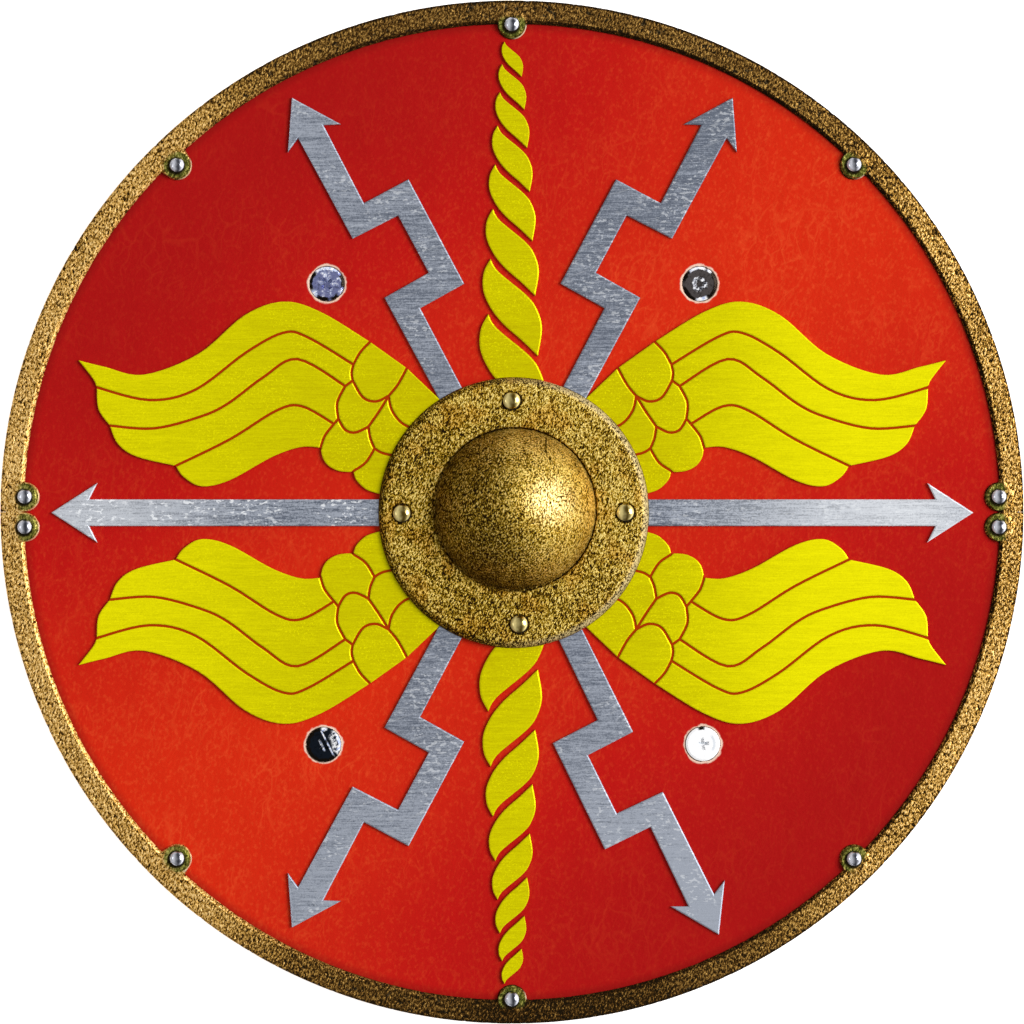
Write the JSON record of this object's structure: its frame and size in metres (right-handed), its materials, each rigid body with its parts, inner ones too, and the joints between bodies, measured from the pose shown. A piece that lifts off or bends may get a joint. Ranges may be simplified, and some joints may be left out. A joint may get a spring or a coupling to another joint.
{
  "type": "round shield",
  "caption": "Round Roman shield with a leather-faced board, riveted brass rim, hollow domed boss, thin wing, lightning and arrow plates, and arm straps behind.",
  "frame": {"origin": "middle of the shield on the plane that its two arm straps rest on, which is the centre of the bounding box's underside", "axes": "+Z is the way the shield faces, +Y is the emblem's top, +X is the wearer's left and the viewer's right"},
  "size_m": [0.3, 0.3, 0.0621],
  "materials": {
    "board_wood": "birch plywood, oiled, plies showing at the edge",
    "facing_leather": "glossy red leather, dyed in crimson and orange-red quarters",
    "rim_brass": "aged, coarsely pitted",
    "boss_brass": "aged, fine granular",
    "rivet_brass": "aged, rubbed bright on top",
    "rivet_steel": "dull polish",
    "silver_plate": "brushed along the shield's width, scratched",
    "yellow_plate": "lemon yellow lacquer over brushed metal",
    "screw_steel": "bright plated",
    "nut_steel": "plain plated",
    "strap_leather": "brown, edge-stitched, waxed"
  },
  "bodies": {
    "root": {"board": "board_wood", "leather_facing": "facing_leather", "rim_upper": "rim_brass", "rim_lower": "rim_brass", "rim_rivet_1": "rivet_steel", "rim_rivet_2": "rivet_steel", "rim_rivet_3": "rivet_steel", "rim_rivet_4": "rivet_steel", "rim_rivet_5": "rivet_steel", "rim_rivet_6": "rivet_steel", "rim_rivet_7": "rivet_steel", "rim_rivet_8": "rivet_steel", "rim_rivet_9": "rivet_steel", "rim_rivet_10": "rivet_steel", "boss": "boss_brass", "boss_rivet_1": "rivet_brass", "boss_rivet_2": "rivet_brass", "boss_rivet_3": "rivet_brass", "boss_rivet_4": "rivet_brass", "wing_upper_right": "yellow_plate", "wing_upper_left": "yellow_plate", "wing_lower_left": "yellow_plate", "wing_lower_right": "yellow_plate", "bolt_upper_right": "silver_plate", "bolt_upper_left": "silver_plate", "bolt_lower_left": "silver_plate", "bolt_lower_right": "silver_plate", "arrow_right": "silver_plate", "arrow_left": "silver_plate", "spindle_upper_1": "yellow_plate", "spindle_upper_2": "yellow_plate", "spindle_upper_3": "yellow_plate", "spindle_upper_4": "yellow_plate", "spindle_upper_5": "yellow_plate", "spindle_upper_6": "yellow_plate", "spindle_upper_7": "yellow_plate", "spindle_upper_8": "yellow_plate", "spindle_lower_1": "yellow_plate", "spindle_lower_2": "yellow_plate", "spindle_lower_3": "yellow_plate", "spindle_lower_4": "yellow_plate", "spindle_lower_5": "yellow_plate", "spindle_lower_6": "yellow_plate", "spindle_lower_7": "yellow_plate", "spindle_lower_8": "yellow_plate", "screw_1": "screw_steel", "screw_2": "screw_steel", "screw_3": "screw_steel", "screw_4": "screw_steel", "nut_1": "nut_steel", "nut_2": "nut_steel", "nut_3": "nut_steel", "nut_4": "nut_steel", "strap_left": "strap_leather", "strap_right": "strap_leather"}
  },
  "joints": []
}
